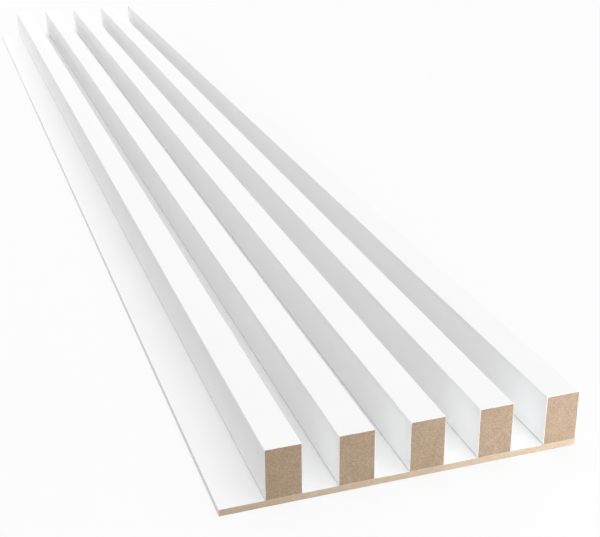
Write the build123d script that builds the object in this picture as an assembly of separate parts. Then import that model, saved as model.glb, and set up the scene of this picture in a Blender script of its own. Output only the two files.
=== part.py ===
"""Slatted acoustic wall panel.

Square-edged MDF slats, each wrapped in a white film, stand in a row on a thin MDF board whose face and
long edges carry a thinner white film. The ends are sawn square, so the bare brown core shows there.
Each slat's film is trimmed off with a small bevel at the slat's foot, which leaves a fine shadow line
along the joint. The row of slats ends flush with the board's right-hand edge. On the left a margin of
bare board spaces the first slat from the flush last slat of the next panel.

The panel lies on its back. X runs across the slats, Y along them and Z up from the back of the board.
The origin is the centre of the back face. Sizes are in millimetres.
"""

import os

from build123d import *

# Driving dimensions
panel_length = 1830.0
slat_count = 5
slat_width = 30.0
slat_height = 45.0
slat_gap = 30.0
left_margin = 37.0
board_thickness = 6.0
slat_film_thickness = 0.35
board_film_thickness = 0.1
slat_core_corner_radius = 0.6
board_core_corner_radius = 0.3
film_trim_bevel = 0.25

# Worked out from the driving dimensions
slat_pitch = slat_width + slat_gap
slats_span = slat_count * slat_width + (slat_count - 1) * slat_gap
panel_width = left_margin + slats_span
first_slat_x = -panel_width / 2 + left_margin + slat_width / 2


def round_topped(width, height, corner_radius):
    """A rectangle standing centred on the X axis, with its two upper corners rounded."""
    outline = Rectangle(width, height, align=(Align.CENTER, Align.MIN))
    return fillet(outline.vertices().group_by(Axis.Y)[-1], corner_radius)


def run_full_length(section):
    """A bar of this cross-section, as long as the panel, reaching half its length each way."""
    return extrude(Plane.XZ * section, panel_length / 2, both=True)


def make_board():
    """The thin backing board and the white film on its face and long edges."""
    core_width = panel_width - 2 * board_film_thickness
    core_height = board_thickness - board_film_thickness
    film_corner_radius = board_core_corner_radius + board_film_thickness
    core = round_topped(core_width, core_height, board_core_corner_radius)
    film = round_topped(panel_width, board_thickness, film_corner_radius) - core
    return {"back_board": run_full_length(core), "board_film": run_full_length(film)}


def make_slat(number):
    """One slat, counted from the left: its MDF core and the film over its top and both sides."""
    core_width = slat_width - 2 * slat_film_thickness
    core_height = slat_height - slat_film_thickness
    film_corner_radius = slat_core_corner_radius + slat_film_thickness
    core = round_topped(core_width, core_height, slat_core_corner_radius)
    outside = round_topped(slat_width, slat_height, film_corner_radius)
    trimmed = chamfer(outside.vertices().group_by(Axis.Y)[0], film_trim_bevel)
    film = trimmed - core
    seat = Pos(first_slat_x + (number - 1) * slat_pitch, 0, board_thickness)
    return {
        f"slat_core_{number}": seat * run_full_length(core),
        f"slat_film_{number}": seat * run_full_length(film),
    }


pieces = make_board()
for slat_number in range(1, slat_count + 1):
    pieces.update(make_slat(slat_number))

os.makedirs("parts", exist_ok=True)
for name, solid in pieces.items():
    export_step(solid, f"parts/{name}.step")
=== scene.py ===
from math import radians

import bpy
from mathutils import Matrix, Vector

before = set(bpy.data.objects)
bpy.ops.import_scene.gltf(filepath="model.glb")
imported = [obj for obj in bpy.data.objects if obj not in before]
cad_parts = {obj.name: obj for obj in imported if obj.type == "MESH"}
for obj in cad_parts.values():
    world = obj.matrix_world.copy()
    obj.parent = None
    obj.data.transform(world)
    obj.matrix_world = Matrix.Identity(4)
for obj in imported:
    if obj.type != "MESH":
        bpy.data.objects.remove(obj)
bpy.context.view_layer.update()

# Back board
# A thin sheet of MDF that carries the slats. It is pressed from fine wood fibre that lies flat in the
# sheet, so the sawn ends show short level streaks and the bare back shows soft round flecks.


def add_node(tree, kind, inputs, **settings):
    """Adds a shader node. Each input is a plain value or the socket that feeds it."""
    node = tree.nodes.new(kind)
    for name, value in settings.items():
        setattr(node, name, value)
    for name, value in inputs.items():
        if isinstance(value, bpy.types.NodeSocket):
            tree.links.new(value, node.inputs[name])
        else:
            node.inputs[name].default_value = value
    return node


def add_ramp(tree, value, stops):
    """Turns a value into a colour through stops of position and colour, in rising order."""
    ramp = add_node(tree, "ShaderNodeValToRGB", {"Fac": value})
    elements = ramp.color_ramp.elements
    while len(elements) < len(stops):
        elements.new(1.0)
    for element, (position, colour) in zip(elements, stops):
        element.position = position
        element.color = (*colour, 1.0)
    return ramp.outputs["Color"]


def wear_finish(node_name, finish):
    """Puts a finish on a CAD node in place of the plain one it was packed with."""
    for material_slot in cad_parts[node_name].material_slots:
        material_slot.material = finish


def make_mdf(name, fibre_lay, dark_fibre, fibre, pale_fibre):
    """Raw MDF: flecks of about a millimetre, in clouds about 9 mm across and broader shifts of tone."""
    fleck_scale = 750.0
    cloud_scale = 110.0
    drift_scale = 9.0
    fleck_share = 0.85
    drift_share = 0.15
    dark_stop = 0.35
    middle_stop = 0.5
    pale_stop = 0.65
    fleck_relief = 0.00015
    finish = bpy.data.materials.new(name)
    finish.use_nodes = True
    tree = finish.node_tree
    shader = tree.nodes["Principled BSDF"]
    place = add_node(tree, "ShaderNodeTexCoord", {}).outputs["Object"]
    lay = add_node(tree, "ShaderNodeMapping", {"Vector": place, "Scale": fibre_lay}).outputs["Vector"]
    clouds = add_node(tree, "ShaderNodeTexNoise", {"Vector": lay, "Scale": cloud_scale, "Detail": 2.0})
    flecks = add_node(
        tree, "ShaderNodeTexNoise", {"Vector": lay, "Scale": fleck_scale, "Detail": 4.0, "Roughness": 0.7}
    )
    drift = add_node(tree, "ShaderNodeTexNoise", {"Vector": place, "Scale": drift_scale, "Detail": 3.0})
    mottle = add_node(
        tree,
        "ShaderNodeMix",
        {"Factor": fleck_share, "A": clouds.outputs["Fac"], "B": flecks.outputs["Fac"]},
    )
    tone = add_node(
        tree,
        "ShaderNodeMix",
        {"Factor": drift_share, "A": mottle.outputs["Result"], "B": drift.outputs["Fac"]},
    )
    colour = add_ramp(
        tree,
        tone.outputs["Result"],
        [(dark_stop, dark_fibre), (middle_stop, fibre), (pale_stop, pale_fibre)],
    )
    tree.links.new(colour, shader.inputs["Base Color"])
    relief = add_node(
        tree,
        "ShaderNodeBump",
        {"Strength": 0.6, "Distance": fleck_relief, "Height": flecks.outputs["Fac"]},
    )
    tree.links.new(relief.outputs["Normal"], shader.inputs["Normal"])
    shader.inputs["Roughness"].default_value = 0.75
    shader.inputs["Specular IOR Level"].default_value = 0.3
    return finish


board_mdf = make_mdf(
    "board_mdf",
    fibre_lay=(1.0, 1.0, 3.0),
    dark_fibre=(0.486, 0.362, 0.25),
    fibre=(0.596, 0.464, 0.334),
    pale_fibre=(0.692, 0.561, 0.426),
)
wear_finish("back_board", board_mdf)

# Board film
# A thin white decor film on the board's face, turned down over its two long edges. It is matt, and only
# a faint peel and lines drawn along its length catch the light.


def make_film(name, dull_white, clear_white):
    """Matt white film: soft clouds a hand wide, a fine peel, and gloss in lines along the panel."""
    cloud_scale = 14.0
    line_scale = 600.0
    line_stretch = (1.0, 0.01, 1.0)
    peel_scale = 420.0
    peel_relief = 0.00003
    low_stop = 0.3
    high_stop = 0.7
    glossiest = 0.54
    dullest = 0.62
    finish = bpy.data.materials.new(name)
    finish.use_nodes = True
    tree = finish.node_tree
    shader = tree.nodes["Principled BSDF"]
    place = add_node(tree, "ShaderNodeTexCoord", {}).outputs["Object"]
    clouds = add_node(tree, "ShaderNodeTexNoise", {"Vector": place, "Scale": cloud_scale, "Detail": 2.0})
    colour = add_ramp(tree, clouds.outputs["Fac"], [(low_stop, dull_white), (high_stop, clear_white)])
    tree.links.new(colour, shader.inputs["Base Color"])
    run = add_node(tree, "ShaderNodeMapping", {"Vector": place, "Scale": line_stretch}).outputs["Vector"]
    lines = add_node(tree, "ShaderNodeTexNoise", {"Vector": run, "Scale": line_scale, "Detail": 2.0})
    gloss = add_node(
        tree,
        "ShaderNodeMapRange",
        {
            "Value": lines.outputs["Fac"],
            "From Min": low_stop,
            "From Max": high_stop,
            "To Min": glossiest,
            "To Max": dullest,
        },
    )
    tree.links.new(gloss.outputs["Result"], shader.inputs["Roughness"])
    peel = add_node(tree, "ShaderNodeTexNoise", {"Vector": place, "Scale": peel_scale, "Detail": 2.0})
    relief = add_node(
        tree, "ShaderNodeBump", {"Strength": 0.2, "Distance": peel_relief, "Height": peel.outputs["Fac"]}
    )
    tree.links.new(relief.outputs["Normal"], shader.inputs["Normal"])
    shader.inputs["Specular IOR Level"].default_value = 0.15
    return finish


board_white = make_film("board_white", dull_white=(0.944, 0.944, 0.942), clear_white=(0.954, 0.954, 0.954))
wear_finish("board_film", board_white)

# Slat cores
# Five square-edged bars ripped from thicker MDF and glued down in a row. The crosscut leaves their ends
# bare: a darker, closer brown than the board, with fine fibre flecks.
slat_count = 5
slat_mdf = make_mdf(
    "slat_mdf",
    fibre_lay=(1.0, 1.0, 1.0),
    dark_fibre=(0.318, 0.218, 0.139),
    fibre=(0.414, 0.299, 0.202),
    pale_fibre=(0.517, 0.386, 0.272),
)
for number in range(1, slat_count + 1):
    wear_finish(f"slat_core_{number}", slat_mdf)

# Slat films
# A thicker white film of the same make, wrapped over each slat's top and sides and trimmed at its foot.
# A fine grey line of painted shade darkens the film's lowest 1.3 mm along the board, where each slat meets
# it.
foot_level = 0.006
foot_shade_height = 0.0013
# Painted shade: the grey that darkens the film at each slat's foot.
painted_foot_shade = (0.4, 0.4, 0.4, 1.0)
slat_white = make_film("slat_white", dull_white=(0.946, 0.946, 0.944), clear_white=(0.956, 0.956, 0.956))
slat_tree = slat_white.node_tree
slat_colour = slat_tree.nodes["Principled BSDF"].inputs["Base Color"]
unshaded_white = slat_colour.links[0].from_socket
slat_place = add_node(slat_tree, "ShaderNodeTexCoord", {}).outputs["Object"]
slat_height = add_node(slat_tree, "ShaderNodeSeparateXYZ", {"Vector": slat_place}).outputs["Z"]
# Mask for the painted shade: nought at the slat's foot, rising to one 1.3 mm above the board.
above_foot_shade = add_node(
    slat_tree,
    "ShaderNodeMapRange",
    {"Value": slat_height, "From Min": foot_level, "From Max": foot_level + foot_shade_height},
)

# A Mix node has sockets of the same name for numbers, vectors and colours. These are the colour ones.
first_colour = 6
second_colour = 7
mixed_colour = 2
# Mixes the painted foot shade into the film's own white.
foot_shaded_white = add_node(
    slat_tree,
    "ShaderNodeMix",
    {"Factor": above_foot_shade.outputs["Result"], first_colour: painted_foot_shade, second_colour: unshaded_white},
    data_type="RGBA",
)
slat_tree.links.new(foot_shaded_white.outputs[mixed_colour], slat_colour)
for number in range(1, slat_count + 1):
    wear_finish(f"slat_film_{number}", slat_white)

# Floor
# A plain pale sheet that throws soft light back on the panel's sides. The camera sees it as near white,
# with a trace of the panel's shadow. It lies a tenth of a millimetre above the board's back, so that the
# back shows from below.
floor_size = 60.0
floor_level = 0.0001
floor_pale = 0.58
shadow_depth = 0.12
seen_white = 0.972
bpy.ops.object.select_all(action="DESELECT")
bpy.ops.mesh.primitive_plane_add(size=floor_size, location=(0.0, 0.0, floor_level))
floor = bpy.context.active_object
floor.name = "floor"


def seen_directly(tree):
    """One for rays from the camera, also by way of a mirror or glass, and nought for rays of light."""
    path = add_node(tree, "ShaderNodeLightPath", {})
    mirrored = add_node(
        tree,
        "ShaderNodeMath",
        {0: path.outputs["Is Glossy Ray"], 1: path.outputs["Is Transmission Ray"]},
        operation="MAXIMUM",
    )
    seen = add_node(
        tree,
        "ShaderNodeMath",
        {0: path.outputs["Is Camera Ray"], 1: mirrored.outputs["Value"]},
        operation="MAXIMUM",
    )
    return seen.outputs["Value"]


floor_finish = bpy.data.materials.new("floor_white")
floor_finish.use_nodes = True
floor_tree = floor_finish.node_tree
floor_tree.nodes.remove(floor_tree.nodes["Principled BSDF"])
floor_seen = seen_directly(floor_tree)
floor_tone = add_node(
    floor_tree, "ShaderNodeMapRange", {"Value": floor_seen, "To Min": floor_pale, "To Max": shadow_depth}
)
floor_sheet = add_node(floor_tree, "ShaderNodeBsdfDiffuse", {"Color": floor_tone.outputs["Result"]})
floor_lift = add_node(
    floor_tree, "ShaderNodeMath", {0: floor_seen, 1: seen_white - shadow_depth}, operation="MULTIPLY"
)
floor_glow = add_node(floor_tree, "ShaderNodeEmission", {"Strength": floor_lift.outputs["Value"]})
floor_both = add_node(
    floor_tree, "ShaderNodeAddShader", {0: floor_sheet.outputs["BSDF"], 1: floor_glow.outputs["Emission"]}
)
floor_tree.links.new(floor_both.outputs["Shader"], floor_tree.nodes["Material Output"].inputs["Surface"])
floor.data.materials.append(floor_finish)

# Studio light
# A white dome that is brightest overhead, and as bright below the floor, for the back. With it go a long
# soft box on the right, one beyond the far left corner and a small, slightly cool one by the sawn ends.
dome_light = 1.41
dome_white = (1.0, 1.0, 1.0, 1.0)
room = bpy.data.worlds.new("room")
bpy.context.scene.world = room
room.use_nodes = True
room_tree = room.node_tree
room_tree.nodes.clear()
dome_way = add_node(room_tree, "ShaderNodeTexCoord", {}).outputs["Generated"]
dome_height = add_node(room_tree, "ShaderNodeSeparateXYZ", {"Vector": dome_way}).outputs["Z"]
dome_steepness = add_node(room_tree, "ShaderNodeMath", {0: dome_height}, operation="ABSOLUTE")
dome_strength = add_node(
    room_tree, "ShaderNodeMapRange", {"Value": dome_steepness.outputs["Value"], "To Max": dome_light}
)
room_fill = add_node(
    room_tree,
    "ShaderNodeBackground",
    {"Color": dome_white, "Strength": dome_strength.outputs["Result"]},
)
room_seen = add_node(room_tree, "ShaderNodeBackground", {"Color": dome_white, "Strength": seen_white})
room_both = add_node(
    room_tree,
    "ShaderNodeMixShader",
    {0: seen_directly(room_tree), 1: room_fill.outputs["Background"], 2: room_seen.outputs["Background"]},
)
add_node(room_tree, "ShaderNodeOutputWorld", {"Surface": room_both.outputs["Shader"]})


def add_soft_box(name, place, target, width, height, power):
    """A rectangular lamp that faces a point of the panel and isn't seen itself."""
    facing = (Vector(target) - Vector(place)).to_track_quat("-Z", "Y").to_euler()
    bpy.ops.object.light_add(type="AREA", location=place, rotation=facing)
    lamp = bpy.context.active_object
    lamp.name = name
    lamp.data.shape = "RECTANGLE"
    lamp.data.size = width
    lamp.data.size_y = height
    lamp.data.energy = power
    lamp.visible_camera = False
    return lamp


add_soft_box(
    "right_box", place=(1.75, 0.0, 1.75), target=(0.0, 0.0, 0.0), width=0.8, height=4.0, power=6.0
)
add_soft_box(
    "far_box", place=(-1.2, 2.2, 0.6), target=(0.0, 0.6, 0.0), width=0.6, height=0.6, power=10.0
)
end_box = add_soft_box(
    "end_box", place=(0.28, -1.21, 0.035), target=(0.1, -0.915, 0.03), width=0.25, height=0.05, power=1.2
)
end_box.data.color = (0.96, 1.0, 1.04)

# Camera
# It stands to the left of the near end and looks down along the slats. It is level when it is turned up
# by a right angle, and the pitch tilts it down from there.
camera_place = (-0.3188, -1.6160, 0.5156)
camera_level = radians(90.0)
camera_yaw = radians(18.315)
camera_pitch = radians(23.442)
camera_roll = radians(-0.534)
bpy.ops.object.camera_add(location=camera_place, rotation=(camera_level - camera_pitch, 0.0, -camera_yaw))
camera = bpy.context.active_object
camera.name = "camera"
camera.rotation_euler.rotate_axis("Z", camera_roll)
camera.data.sensor_width = 36.0
camera.data.lens = 68.3
bpy.context.scene.camera = camera
bpy.context.scene.view_settings.view_transform = "Standard"
